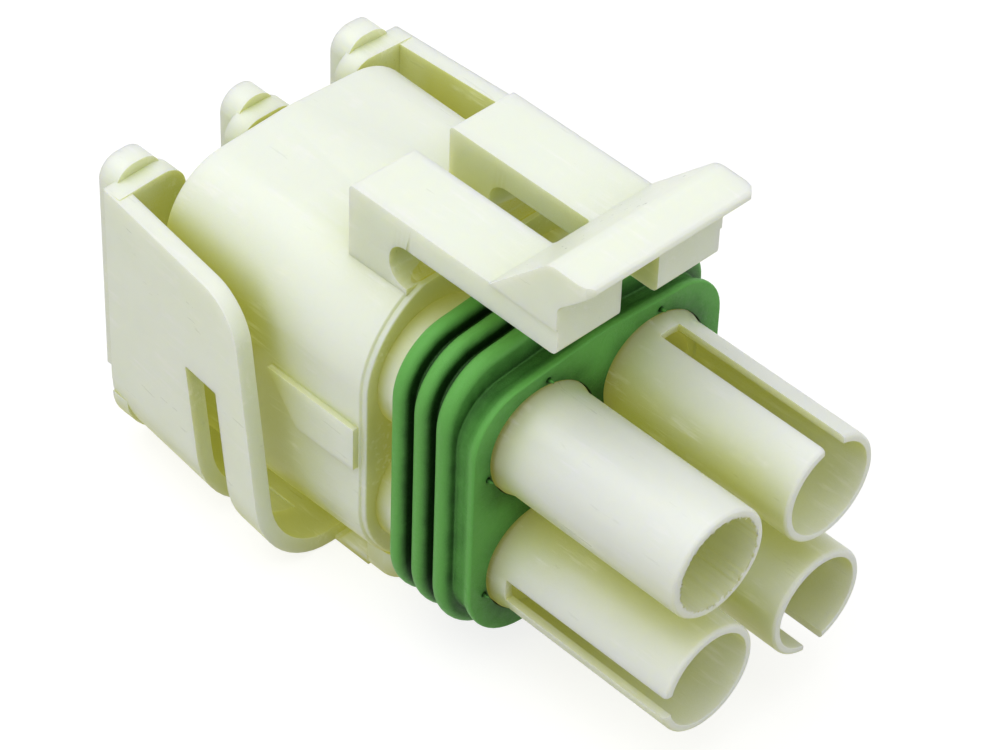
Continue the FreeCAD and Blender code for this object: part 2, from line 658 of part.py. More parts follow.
for item in document.Objects:
    if "Invalid" in item.State or "Error" in item.State:
        raise RuntimeError("%s failed: %s" % (item.Name, item.State))
os.makedirs("parts", exist_ok=True)
for name, node in nodes.items():
    shape = node.Shape
    if shape.isNull() or not shape.isValid() or len(shape.Solids) != 1:
        raise RuntimeError("%s has no valid single solid" % name)
    shape.exportStep("parts/%s.step" % name)
    print("%-16s %8.2f mm3" % (name, shape.Volume))
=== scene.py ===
import math
import random
import bmesh
import bpy
from mathutils import Matrix, Vector


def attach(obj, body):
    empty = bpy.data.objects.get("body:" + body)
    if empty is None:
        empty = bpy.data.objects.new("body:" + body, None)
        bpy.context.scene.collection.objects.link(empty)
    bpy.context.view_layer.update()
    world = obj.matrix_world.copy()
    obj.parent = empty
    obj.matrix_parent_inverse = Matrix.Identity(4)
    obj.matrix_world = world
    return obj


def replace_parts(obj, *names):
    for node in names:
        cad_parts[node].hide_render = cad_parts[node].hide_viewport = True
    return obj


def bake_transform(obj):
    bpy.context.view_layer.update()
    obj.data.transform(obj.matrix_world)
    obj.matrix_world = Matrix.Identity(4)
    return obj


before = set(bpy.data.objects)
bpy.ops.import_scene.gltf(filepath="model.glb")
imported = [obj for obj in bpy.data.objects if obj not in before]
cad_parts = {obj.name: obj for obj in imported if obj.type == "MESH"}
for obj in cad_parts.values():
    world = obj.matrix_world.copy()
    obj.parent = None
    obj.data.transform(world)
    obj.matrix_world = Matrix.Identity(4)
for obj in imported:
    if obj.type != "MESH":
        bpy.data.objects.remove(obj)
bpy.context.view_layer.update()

# Lengths below are in millimetres, and MM turns them into the scene's metres.
MM = 0.001
PITCH_X = 8.0
PITCH_Z = 8.1
CAVITIES = [(side, level) for level in (1, -1) for side in (-1, 1)]
CENTRES = [(side * PITCH_X / 2, level * PITCH_Z / 2) for side, level in CAVITIES]
# A rounded corner gets a few segments, or more of them where its radius is over WIDE_ROUND.
FINE_STEPS = 3
WIDE_STEPS = 12
WIDE_ROUND = 0.9


def across_at(along):
    """Turns an (across, up) pair into a point of the plane across the connector."""
    return lambda across, up: (across, along, up)


def side_at(across):
    """Turns an (along, up) pair into a point of the plane along the connector."""
    return lambda along, up: (across, along, up)


def outline(bm, corners, at):
    """A closed run of edges through corners, each two places and, where it is rounded, a radius."""
    known = set(bm.edges)
    spots = [bm.verts.new(at(*corner[:2])) for corner in corners]
    for spot, following in zip(spots, spots[1:] + spots[:1]):
        bm.edges.new((spot, following))
    for spot, (_, _, *rounding) in zip(spots, corners):
        if not rounding:
            continue
        radius = rounding[0]
        near, far = (edge.other_vert(spot).co - spot.co for edge in spot.link_edges)
        bmesh.ops.bevel(bm, geom=[spot], offset=radius / math.tan(near.angle(far) / 2), offset_type="OFFSET",
                        affect="VERTICES", segments=WIDE_STEPS if radius > WIDE_ROUND else FINE_STEPS,
                        profile=0.5, material=-1)
    return [edge for edge in bm.edges if edge not in known]


def skin(bm, outlines):
    """Bridge outlines in turn and close both ends."""
    for first, second in zip(outlines, outlines[1:]):
        bmesh.ops.bridge_loops(bm, edges=first + second)
    for end in (outlines[0], outlines[-1]):
        bmesh.ops.contextual_create(bm, geom=end)


def round_edges(bm, edges, offset, segments):
    """Round edges of the mesh in hand by an offset."""
    bmesh.ops.bevel(bm, geom=edges, offset=offset, offset_type="OFFSET", affect="EDGES",
                    segments=segments, profile=0.5, material=-1)


def prism(bm, corners, at, reach):
    """Fill an outline and extrude it by a vector."""
    face = bmesh.ops.contextual_create(bm, geom=outline(bm, corners, at))["faces"]
    grown = bmesh.ops.extrude_face_region(bm, geom=face)["geom"]
    moved = [part for part in grown if isinstance(part, bmesh.types.BMVert)]
    bmesh.ops.translate(bm, vec=reach, verts=moved)


def turn_round(bm, corners, centre, steps):
    """Spin a closed profile of (radius, along) corners about a line along Y."""
    x, z = centre
    profile = outline(bm, corners, lambda radius, along: (x + radius, along, z))
    spots = list({spot for edge in profile for spot in edge.verts})
    bmesh.ops.spin(bm, geom=profile + spots, cent=(x, 0, z), axis=(0, 1, 0), angle=math.tau, steps=steps,
                   use_merge=True)


def finished(name, bm):
    """A smooth-shaded object in metres from a mesh in millimetres."""
    bmesh.ops.remove_doubles(bm, verts=bm.verts, dist=0.001)
    bmesh.ops.recalc_face_normals(bm, faces=bm.faces)
    bmesh.ops.scale(bm, vec=(MM, MM, MM), verts=bm.verts)
    for face in bm.faces:
        face.smooth = True
    mesh = bpy.data.meshes.new(name)
    bm.to_mesh(mesh)
    bm.free()
    item = bpy.data.objects.new(name, mesh)
    bpy.context.scene.collection.objects.link(item)
    return item


def prism_piece(name, corners, at, reach):
    """An extruded outline as an object."""
    bm = bmesh.new()
    prism(bm, corners, at, reach)
    return finished(name, bm)


def rod_piece(name, centre, radius, front, rear, squeeze=1.0, tilt=0.0):
    """A rod along Y as an object, round, or squeezed to an oval that is tilted by an angle."""
    bm = bmesh.new()
    bmesh.ops.create_cone(bm, cap_ends=True, segments=96, radius1=radius, radius2=radius, depth=rear - front)
    bmesh.ops.scale(bm, vec=(1, squeeze, 1), verts=bm.verts)
    bmesh.ops.rotate(bm, cent=(0, 0, 0), matrix=Matrix.Rotation(math.radians(tilt), 3, "Z"), verts=bm.verts)
    bmesh.ops.rotate(bm, cent=(0, 0, 0), matrix=Matrix.Rotation(math.radians(90), 3, "X"), verts=bm.verts)
    bmesh.ops.translate(bm, vec=(centre[0], (front + rear) / 2, centre[1]), verts=bm.verts)
    return finished(name, bm)


def everything(bm):
    """All points, edges and faces of a mesh in hand."""
    return list(bm.verts) + list(bm.edges) + list(bm.faces)


def divide(piece, places):
    """Divide a piece's faces at places along Y, so that it bends smoothly there."""
    bm = bmesh.new()
    bm.from_mesh(piece.data)
    for along in places:
        bmesh.ops.bisect_plane(bm, geom=everything(bm), plane_co=(0, along * MM, 0), plane_no=(0, 1, 0))
    bm.to_mesh(piece.data)
    bm.free()


def carve(piece, tools, operation="DIFFERENCE"):
    """Cut tools out of a piece, or join or keep them, and clear the tools away."""
    for tool in tools:
        modifier = piece.modifiers.new("carve", "BOOLEAN")
        modifier.operation = operation
        modifier.solver = "EXACT"
        modifier.object = tool
    graph = bpy.context.evaluated_depsgraph_get()
    carved = bpy.data.meshes.new_from_object(piece.evaluated_get(graph), depsgraph=graph)
    piece.modifiers.clear()
    blank, piece.data = piece.data, carved
    bpy.data.meshes.remove(blank)
    for tool in tools:
        bpy.data.objects.remove(tool)
    bm = bmesh.new()
    bm.from_mesh(carved)
    bmesh.ops.remove_doubles(bm, verts=bm.verts, dist=0.002 * MM)
    bmesh.ops.dissolve_limit(bm, angle_limit=math.radians(0.5), verts=bm.verts, edges=bm.edges)
    for face in bm.faces:
        face.smooth = True
    bm.to_mesh(carved)
    bm.free()
    return piece


def ease(piece, width, segments=3, angle=30):
    """Round the sharp edges as the mould leaves them."""
    bevel = piece.modifiers.new("eased edges", "BEVEL")
    bevel.width = width * MM
    bevel.segments = segments
    bevel.limit_method = "ANGLE"
    bevel.angle_limit = math.radians(angle)
    bevel.miter_outer = "MITER_ARC"
    shading = piece.modifiers.new("flat faces stay flat", "WEIGHTED_NORMAL")
    shading.mode = "FACE_AREA"
    return piece


def linear(code):
    """A hex colour as linear RGBA."""
    channels = [int(code[k:k + 2], 16) / 255 for k in (1, 3, 5)]
    return tuple(c / 12.92 if c <= 0.04045 else ((c + 0.055) / 1.055) ** 2.4 for c in channels) + (1.0,)


def lumps(size):
    """Scale of a pattern whose lumps are a size in millimetres."""
    return 1 / (size * MM)


def add(tree, kind, inputs=(), **settings):
    """Add a node with its settings, and fill its inputs with values or links."""
    node = tree.nodes.new(kind)
    for name, setting in settings.items():
        setattr(node, name, setting)
    for socket, content in dict(inputs).items():
        if isinstance(content, bpy.types.NodeSocket):
            tree.links.new(content, node.inputs[socket])
        else:
            node.inputs[socket].default_value = content
    return node


def blank_material(name):
    """A material, its tree and its shader."""
    material = bpy.data.materials.new(name)
    material.use_nodes = True
    return material, material.node_tree, material.node_tree.nodes["Principled BSDF"]


def natural_nylon():
    """Undyed nylon, injection moulded: milky where the light is open, with painted shade that turns it olive
    in gaps and bores and on faces that look down, and a faint painted olive light there. Its skin is satin,
    with faint flow marks along the draw."""
    material, tree, shader = blank_material("natural moulded nylon")
    place = add(tree, "ShaderNodeTexCoord").outputs["Object"]

    # Clouding of the melt in patches of about 5 mm, and painted shade: olive in gaps, bores and on faces that
    # look down
    openness = add(tree, "ShaderNodeAmbientOcclusion", {"Distance": 4.6 * MM}, samples=3).outputs["AO"]
    clouds = add(tree, "ShaderNodeTexNoise", {"Vector": place, "Scale": lumps(5.0),
                                              "Detail": 3.0}).outputs["Fac"]
    drift = add(tree, "ShaderNodeMapRange", {"Value": clouds, "From Min": 0.3, "From Max": 0.7,
                                             "To Min": -0.05, "To Max": 0.05}).outputs["Result"]
    normal = add(tree, "ShaderNodeNewGeometry").outputs["Normal"]
    facing = add(tree, "ShaderNodeSeparateXYZ", {0: normal}).outputs["Z"]
    # Painted shade on faces that look down, the more so the further they turn toward the floor
    painted_underside_shade = add(tree, "ShaderNodeMapRange", {"Value": facing, "From Min": -0.6, "From Max": 0.1,
                                                 "To Min": -0.5, "To Max": 0.0}).outputs["Result"]
    lit = add(tree, "ShaderNodeMath", {0: openness, 1: drift}, operation="ADD").outputs[0]
    shade = add(tree, "ShaderNodeMath", {0: lit, 1: painted_underside_shade}, operation="ADD").outputs[0]
    # Painted shade: the less open a place, the more olive its colour, from deep olive through pale olive to
    # milky
    deep_shade_share = add(tree, "ShaderNodeMapRange", {"Value": shade, "From Min": 0.0, "From Max": 0.3})
    milky_share = add(tree, "ShaderNodeMapRange", {"Value": shade, "From Min": 0.25, "From Max": 0.95})
    olive = add(tree, "ShaderNodeMix", {0: deep_shade_share.outputs["Result"], 6: linear("#AEAB52"),
                                        7: linear("#C4CA85")}, data_type="RGBA")
    milk = add(tree, "ShaderNodeMix", {0: milky_share.outputs["Result"], 6: olive.outputs[2],
                                       7: linear("#EFF5E7")}, data_type="RGBA")

    # Painted light: a faint olive emission where little else gets in, strongest where the painted shade is
    # deepest
    painted_glow = add(tree, "ShaderNodeMapRange", {"Value": shade, "From Min": 0.0, "From Max": 0.55,
                                            "To Min": 0.62, "To Max": 0.0}).outputs["Result"]
    shader.inputs["Emission Color"].default_value = linear("#84863A")
    tree.links.new(painted_glow, shader.inputs["Emission Strength"])

    # Flow marks 0.5 mm wide and ten times as long, drawn along the tool's opening
    drawn = add(tree, "ShaderNodeMapping", {"Vector": place, "Scale": (1.0, 0.1, 1.0)}).outputs["Vector"]
    flow = add(tree, "ShaderNodeTexNoise", {"Vector": drawn, "Scale": lumps(0.5), "Detail": 5.0,
                                            "Roughness": 0.65}).outputs["Fac"]
    patches = add(tree, "ShaderNodeTexNoise", {"Vector": place, "Scale": lumps(3.0),
                                               "Detail": 4.0}).outputs["Fac"]
    streaks = add(tree, "ShaderNodeMapRange", {"Value": flow, "From Min": 0.52, "From Max": 0.68})
    where = add(tree, "ShaderNodeMapRange", {"Value": patches, "From Min": 0.48, "From Max": 0.62})
    marks = add(tree, "ShaderNodeMath", {0: streaks.outputs["Result"], 1: where.outputs["Result"]},
                operation="MULTIPLY").outputs[0]
    whitened = add(tree, "ShaderNodeMath", {0: marks, 1: 0.5}, operation="MULTIPLY").outputs[0]
    skin_colour = add(tree, "ShaderNodeMix", {0: whitened, 6: milk.outputs[2], 7: linear("#FAFCF6")},
                      data_type="RGBA").outputs[2]
    tree.links.new(skin_colour, shader.inputs["Base Color"])
    gloss = add(tree, "ShaderNodeMapRange", {"Value": flow, "From Min": 0.3, "From Max": 0.7,
                                             "To Min": 0.26, "To Max": 0.48}).outputs["Result"]
    tree.links.new(gloss, shader.inputs["Roughness"])

    # Sink marks 3 mm across, and spark-eroded grain drawn at 0.25 mm so that it shows
    grain = add(tree, "ShaderNodeTexNoise", {"Vector": place, "Scale": lumps(0.25),
                                             "Detail": 3.0}).outputs["Fac"]
    sinks = add(tree, "ShaderNodeBump", {"Height": patches, "Distance": 0.05 * MM, "Strength": 0.35})
    skin_bump = add(tree, "ShaderNodeBump", {"Height": grain, "Distance": 0.006 * MM, "Strength": 0.6,
                                             "Normal": sinks.outputs["Normal"]})
    tree.links.new(skin_bump.outputs["Normal"], shader.inputs["Normal"])
    shader.inputs["IOR"].default_value = 1.53
    shader.inputs["Subsurface Weight"].default_value = 0.8
    shader.inputs["Subsurface Radius"].default_value = (1.0, 0.95, 0.55)
    shader.inputs["Subsurface Scale"].default_value = 1.3 * MM
    return material


def green_silicone():
    """Green silicone, compression moulded: soft and satin, with painted shade that turns it nearly
    black-green in the hollows between its ribs, and a dry speckle all over that shows on the crests, where
    light grazes it."""
    material, tree, shader = blank_material("green moulded silicone")
    place = add(tree, "ShaderNodeTexCoord").outputs["Object"]
    # Painted shade: the less open a place, the darker the green, down to near black-green in the deepest
    # hollows
    openness = add(tree, "ShaderNodeAmbientOcclusion", {"Distance": 2.2 * MM}, samples=4).outputs["AO"]
    blotches = add(tree, "ShaderNodeTexNoise", {"Vector": place, "Scale": lumps(1.5),
                                                "Detail": 4.0}).outputs["Fac"]
    drift = add(tree, "ShaderNodeMapRange", {"Value": blotches, "From Min": 0.3, "From Max": 0.7,
                                             "To Min": -0.06, "To Max": 0.06}).outputs["Result"]
    shade = add(tree, "ShaderNodeMath", {0: openness, 1: drift}, operation="ADD").outputs[0]
    low = add(tree, "ShaderNodeMapRange", {"Value": shade, "From Min": 0.3, "From Max": 0.7})
    high = add(tree, "ShaderNodeMapRange", {"Value": shade, "From Min": 0.6, "From Max": 0.92})
    painted_groove_shade = add(tree, "ShaderNodeMix", {0: low.outputs["Result"], 6: linear("#082403"),
                                         7: linear("#1E4D15")}, data_type="RGBA")
    crest = add(tree, "ShaderNodeMix", {0: high.outputs["Result"], 6: painted_groove_shade.outputs[2],
                                        7: linear("#66AD52")}, data_type="RGBA")
    tree.links.new(crest.outputs[2], shader.inputs["Base Color"])

    # Dry speckle, drawn at 0.2 mm so that it shows
    speckle = add(tree, "ShaderNodeTexNoise", {"Vector": place, "Scale": lumps(0.2), "Detail": 4.0,
                                               "Roughness": 0.7}).outputs["Fac"]
    gloss = add(tree, "ShaderNodeMapRange", {"Value": speckle, "From Min": 0.35, "From Max": 0.65,
                                             "To Min": 0.42, "To Max": 0.62}).outputs["Result"]
    tree.links.new(gloss, shader.inputs["Roughness"])
    bump = add(tree, "ShaderNodeBump", {"Height": speckle, "Distance": 0.03 * MM, "Strength": 1.0})
    tree.links.new(bump.outputs["Normal"], shader.inputs["Normal"])
    shader.inputs["IOR"].default_value = 1.41
    shader.inputs["Specular IOR Level"].default_value = 0.3
    shader.inputs["Subsurface Weight"].default_value = 0.1
    shader.inputs["Subsurface Radius"].default_value = (0.4, 1.0, 0.3)
    shader.inputs["Subsurface Scale"].default_value = 0.4 * MM
    return material


def tin_plate():
    """Bright tin over brass strip, rolled: a grey-white metal with fine grain along the contact."""
    material, tree, shader = blank_material("rolled tin plate")
    place = add(tree, "ShaderNodeTexCoord").outputs["Object"]
    rolled = add(tree, "ShaderNodeMapping", {"Vector": place, "Scale": (1.0, 0.05, 1.0)}).outputs["Vector"]
    grain = add(tree, "ShaderNodeTexNoise", {"Vector": rolled, "Scale": lumps(0.3),
                                             "Detail": 5.0}).outputs["Fac"]
    tint = add(tree, "ShaderNodeMix", {0: grain, 6: linear("#B5B0A2"), 7: linear("#DCD8CC")},
               data_type="RGBA").outputs[2]
    tree.links.new(tint, shader.inputs["Base Color"])
    gloss = add(tree, "ShaderNodeMapRange", {"Value": grain, "From Min": 0.3, "From Max": 0.7,
                                             "To Min": 0.24, "To Max": 0.4}).outputs["Result"]
    tree.links.new(gloss, shader.inputs["Roughness"])
    bump = add(tree, "ShaderNodeBump", {"Height": grain, "Distance": 0.01 * MM, "Strength": 0.4})
    tree.links.new(bump.outputs["Normal"], shader.inputs["Normal"])
    shader.inputs["Metallic"].default_value = 1.0
    return material


NYLON = natural_nylon()
SILICONE = green_silicone()
TIN = tin_plate()


def dress(piece, material):
    """Give a piece its finish."""
    piece.data.materials.clear()
    piece.data.materials.append(material)
    return piece


# Towers: thin tubes, three of them with a keying slot open at the tip
TOWER_RADIUS = 3.2
TOWER_ROOT_RADIUS = 3.36
TOWER_BORE = 2.73
CAVITY_BORE = 2.2
BORE_DEPTH = 12.0
BODY_FRONT = 20.4
SEAL_FRONT = 12.3
SEAL_REAR = 18.4
SLOT_WIDTH = 1.4
SLOT_LENGTH = 11.4
# Towers count from the upper left to the lower right. A slot's turn is in degrees from the top.
SLOT_TURN = {2: 0, 3: 90, 4: 180}
TOWER_STEPS = 144
BOSS_RADIUS = 3.9
ROOT_END = BODY_FRONT + 0.3


def tower_tube(number, centre):
    """A tower's tube, its rim rounded to a thin lip and its root thickened inside the seal."""
    bm = bmesh.new()
    outside = [(TOWER_RADIUS, 0, 0.24), (TOWER_RADIUS, SEAL_FRONT - 0.5), (TOWER_ROOT_RADIUS, SEAL_FRONT),
               (TOWER_ROOT_RADIUS, ROOT_END)]
    inside = [(CAVITY_BORE, ROOT_END), (CAVITY_BORE, BORE_DEPTH), (TOWER_BORE, BORE_DEPTH, 0.15),
              (TOWER_BORE, 0, 0.06)]
    turn_round(bm, outside + inside, centre, TOWER_STEPS)
    tube = finished("tower_%d_tube" % number, bm)
    if number in SLOT_TURN:
        bm = bmesh.new()
        bmesh.ops.create_cube(bm, size=1.0)
        bmesh.ops.scale(bm, vec=(SLOT_WIDTH, SLOT_LENGTH + 1, 2.6), verts=bm.verts)
        bmesh.ops.translate(bm, vec=(0, (SLOT_LENGTH - 1) / 2, CAVITY_BORE / 2 + 1.6), verts=bm.verts)
        turned = Matrix.Rotation(math.radians(-SLOT_TURN[number]), 3, "Y")
        bmesh.ops.rotate(bm, cent=(0, 0, 0), matrix=turned, verts=bm.verts)
        bmesh.ops.translate(bm, vec=(centre[0], 0, centre[1]), verts=bm.verts)
        carve(tube, [finished("slot_tool", bm)])
    return ease(tube, 0.06)


def ragged_rim(tube, centre, seed, spread=0.07):
    """Leave torn flash, a spread in millimetres wide, along the inside of a tower's rim."""
    chance = random.Random(seed)
    bm = bmesh.new()
    bm.from_mesh(tube.data)
    middle = Vector((centre[0], 0, centre[1])) * MM
    for spot in bm.verts:
        arm = spot.co - middle
        radius = math.hypot(arm.x, arm.z) / MM
        if spot.co.y < 0.1 * MM and radius < TOWER_BORE + 0.09:
            spot.co -= arm.normalized() * max(0.0, chance.gauss(0.0, spread)) * MM
    bm.to_mesh(tube.data)
    bm.free()


housing_pieces = []
for number, centre in enumerate(CENTRES, start=1):
    tube = tower_tube(number, centre)
    housing_pieces.append(tube)
    bm = bmesh.new()
    turn_round(bm, [(TOWER_RADIUS, SEAL_REAR), (BOSS_RADIUS, SEAL_REAR, 0.3), (BOSS_RADIUS, ROOT_END),
                    (TOWER_RADIUS, ROOT_END)], centre, TOWER_STEPS)
    housing_pieces.append(finished("tower_%d_boss" % number, bm))
ragged_rim(housing_pieces[0], CENTRES[0], 11)

# Body: a thin lip at the front, then a shell whose crown falls to the rear
LIP = 0.35
LIP_INSET = 0.12
BODY_REAR = 36.0
BODY_HALF = 8.75
BULGE_ROUND = 14
BELLY = 9.2
CAVITY_END = 27.0
REAR_BORE = 2.6
ARM_OUTER = 5.68
ARM_LOW = 12.07
RECESS_FLOOR = 9.5
RECESS_REAR = 22.0
RECESS_ROUND = 1.2
RAIL_FRONT = 20.9
RAIL_HEIGHT = 0.35
BLOCK_FRONT = 19.9
BLOCK_REAR = 22.3
BLOCK_ROUND = 1.2
BLOCK_TOP = -8.6
STRAP_HALF = 6.7
STRAP_BOTTOM = -10.4
STRAP_TOP = -9.8


def bulged(half, shoulder, apex, corner, low_shoulder=None, low_apex=None, low_corner=None):
    """Corners of an outline with flat sides and a bulging top and bottom, alike unless the low ones are
    given."""
    low_shoulder = low_shoulder or shoulder
    low_apex = low_apex or apex
    low_corner = low_corner or corner
    top = [(half, shoulder, corner), (0, apex, BULGE_ROUND), (-half, shoulder, corner)]
    bottom = [(-half, -low_shoulder, low_corner), (0, -low_apex, BULGE_ROUND),
              (half, -low_shoulder, low_corner)]
    return top + bottom


def body_section(bm, share, inset, along):
    """The body's outline, from its front (share 0) to its rear (share 1)."""
    shoulder = 8.6 + 0.3 * share
    apex = 10.9 - 1.5 * share
    corner = 5.8 - 1.6 * share
    return outline(bm, bulged(BODY_HALF - inset, shoulder - inset, apex - inset, corner), across_at(along))


def front_block():
    """The block that carries the strap, its corners and lower edge rounded."""
    bm = bmesh.new()
    plan = [(-STRAP_HALF, BLOCK_FRONT, BLOCK_ROUND), (STRAP_HALF, BLOCK_FRONT, BLOCK_ROUND),
            (STRAP_HALF, BLOCK_REAR), (-STRAP_HALF, BLOCK_REAR)]
    prism(bm, plan, lambda across, along: (across, along, STRAP_BOTTOM), (0, 0, BLOCK_TOP - STRAP_BOTTOM))
    lower = [edge for edge in bm.edges if all(spot.co.z < STRAP_BOTTOM + 0.01 for spot in edge.verts)
             and not all(spot.co.y > BLOCK_REAR - 0.01 for spot in edge.verts)]
    round_edges(bm, lower, 0.35, 3)
    return finished("front_block", bm)


def body_shell():
    """The body with its lip, rails and front block, bored from the rear, with the recess under the latch."""
    bm = bmesh.new()
    lip_front = body_section(bm, 0, LIP_INSET, BODY_FRONT)
    lip_rear = body_section(bm, 0, LIP_INSET, BODY_FRONT + LIP)
    front = body_section(bm, 0, 0, BODY_FRONT + LIP + 0.08)
    rear = body_section(bm, 1, 0, BODY_REAR)
    skin(bm, [lip_front, lip_rear, front, rear])
    for edges, offset in ((lip_front, 0.1), (front, 0.05), (rear, 0.22)):
        round_edges(bm, edges, offset, 3)
    bmesh.ops.bisect_plane(bm, geom=everything(bm), plane_co=(0, 0, -BELLY), plane_no=(0, 0, -1),
                           clear_outer=True)
    bmesh.ops.holes_fill(bm, edges=[edge for edge in bm.edges if edge.is_boundary])
    shell = finished("body_shell", bm)
    rail = [(RAIL_FRONT, -1.0), (25.3, -1.0), (27.5, 1.8), (RAIL_FRONT, 1.8)]
    rails = [prism_piece("rail", rail, side_at(side * BODY_HALF - RAIL_HEIGHT), (2 * RAIL_HEIGHT, 0, 0))
             for side in (-1, 1)]
    carve(shell, rails + [front_block()], "UNION")
    recess = [(BODY_FRONT - 1, RECESS_FLOOR), (RECESS_REAR, RECESS_FLOOR, RECESS_ROUND),
              (RECESS_REAR, ARM_LOW, RECESS_ROUND), (BODY_FRONT - 1, ARM_LOW)]
    tools = [rod_piece("bore", centre, REAR_BORE, CAVITY_END, BODY_REAR + 1) for centre in CENTRES]
    tools.append(prism_piece("recess", recess, side_at(-ARM_OUTER), (2 * ARM_OUTER, 0, 0)))
    carve(shell, tools)
    return ease(shell, 0.1)


housing_pieces.append(body_shell())
for piece in housing_pieces:
    dress(piece, NYLON)
    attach(piece, "housing")
    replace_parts(piece, "housing")

# Latch loop in one with its pedestals: the arms bend where they leave them, and the gap is open to the rear
ARM_TOP = 13.77
ARM_FRONT = 10.06
PEDESTAL_REAR = 25.0
LATCH_FOOT = 8.4
TAB_HALF = 5.82
TAB_FOOT = 14.8
TAB_CREST = 17.67
TUNNEL_ROOF = 15.0
GAP_HALF = 1.3
FLEX_FRONT = 19.4
FLEX_REAR = 23.6
FLEX_CUTS = 12


def finger_tab():
    """The ramped tab, a little wider than the lock blocks, its front corners rounded."""
    side_view = [(TAB_FOOT, ARM_TOP), (10.7, TAB_CREST, 1.1), (8.0, 17.6, 0.25), (7.92, 17.2, 0.12),
                 (ARM_FRONT, 15.25, 0.6), (ARM_FRONT, ARM_TOP)]
    tab = prism_piece("finger_tab", side_view, side_at(-TAB_HALF), (2 * TAB_HALF, 0, 0))
    plan_view = [(-TAB_HALF, 7.9, 0.8), (TAB_HALF, 7.9, 0.8), (TAB_HALF, 16), (-TAB_HALF, 16)]
    plan = prism_piece("plan", plan_view, lambda across, along: (across, along, ARM_TOP - 1), (0, 0, 6))
    return carve(tab, [plan], "INTERSECT")


def latch_moulding():
    """Pedestals, arms, lock blocks and finger tab in one."""
    foot = RECESS_REAR - RECESS_ROUND - 0.1
    side_view = [
        (PEDESTAL_REAR, LATCH_FOOT), (PEDESTAL_REAR, ARM_TOP, 0.3), (TAB_FOOT + 0.05, ARM_TOP),
        (11.0, TUNNEL_ROOF), (ARM_FRONT, TUNNEL_ROOF), (ARM_FRONT, ARM_LOW, 0.4),
        (RECESS_REAR, ARM_LOW, RECESS_ROUND), (RECESS_REAR, RECESS_FLOOR, RECESS_ROUND), (foot, RECESS_FLOOR),
        (foot, LATCH_FOOT)]
    latch = prism_piece("latch_loop_moulding", side_view, side_at(-ARM_OUTER), (2 * ARM_OUTER, 0, 0))
    carve(latch, [finger_tab()], "UNION")
    gap_view = [(-GAP_HALF, TAB_FOOT, 0.2), (GAP_HALF, TAB_FOOT, 0.2), (GAP_HALF, 26), (-GAP_HALF, 26)]
    gap = prism_piece("gap_tool", gap_view, lambda across, along: (across, along, 8.0), (0, 0, 6.6))
    tunnel_view = [(9.0, 11.0), (14.9, 11.0), (14.9, 12.67), (12.4, TUNNEL_ROOF), (9.0, TUNNEL_ROOF)]
    tunnel = prism_piece("tunnel_tool", tunnel_view, side_at(-GAP_HALF), (2 * GAP_HALF, 0, 0))
    carve(latch, [gap, tunnel])
    divide(latch, [FLEX_FRONT + (FLEX_REAR - FLEX_FRONT) * cut / FLEX_CUTS for cut in range(FLEX_CUTS + 1)])
    return ease(latch, 0.2, 4)


latch = dress(latch_moulding(), NYLON)
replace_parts(latch, "latch_loop")

# Rear lock: a U-shaped channel that narrows to the rear, cut to its side view
LOCK_FRONT = 24.8
LOCK_REAR = 38.7
LOCK_BOTTOM = -10.4
LOCK_TOP = 9.0
LOCK_HALF_FRONT = 11.8
LOCK_HALF_REAR = 10.5
LOCK_CORNER = 4.8
WALL = 1.05
BOTTOM_WALL = 0.8
CROSS_FRONT = 37.5
CROSS_TOP = -6.6
WINDOW_FRONT = 29.0
WINDOW_REAR = 31.7
WINDOW_LOW = -9.7
WINDOW_HIGH = 0.3
FINGER_REAR = 40.0
# The front edge of a side wall leans back 2.6 mm over its height of 17.5 mm, and the windows with it.
LEAN = 2.6 / 17.5


def lock_section(bm, half, along):
    """The channel's outline: outer corners, then the lining's."""
    lining = LOCK_CORNER - WALL
    corners = [(-half, LOCK_BOTTOM, LOCK_CORNER), (half, LOCK_BOTTOM, LOCK_CORNER), (half, LOCK_TOP),
               (half - WALL, LOCK_TOP), (half - WALL, LOCK_BOTTOM + BOTTOM_WALL, lining),
               (WALL - half, LOCK_BOTTOM + BOTTOM_WALL, lining), (WALL - half, LOCK_TOP), (-half, LOCK_TOP)]
    return outline(bm, corners, across_at(along))


def finger(x, lean):
    """A finger's front plate and rear rib. The outer plates run into the side walls, and their ribs reach
    outward."""
    foot = LOCK_BOTTOM + 4.6 * abs(lean)
    low = x - 1.3 + min(lean, 0) * 0.45
    high = x + 1.3 + max(lean, 0) * 0.45
    right, left = [(side * 10.44, 7.62) if side == lean else (x + side * 2.1, 7.85, 1.5) for side in (1, -1)]
    plate = prism_piece("plate", [(left[0], foot), (right[0], foot), right, left], across_at(CROSS_FRONT),
                        (0, LOCK_REAR + 0.1 - CROSS_FRONT, 0))
    rib = prism_piece("rib", [(low, foot), (high, foot), (high, 8.4, 1.25), (low, 8.4, 1.25)],
                      across_at(LOCK_REAR - 0.1), (0, FINGER_REAR + 0.1 - LOCK_REAR, 0))
    return [plate, rib]


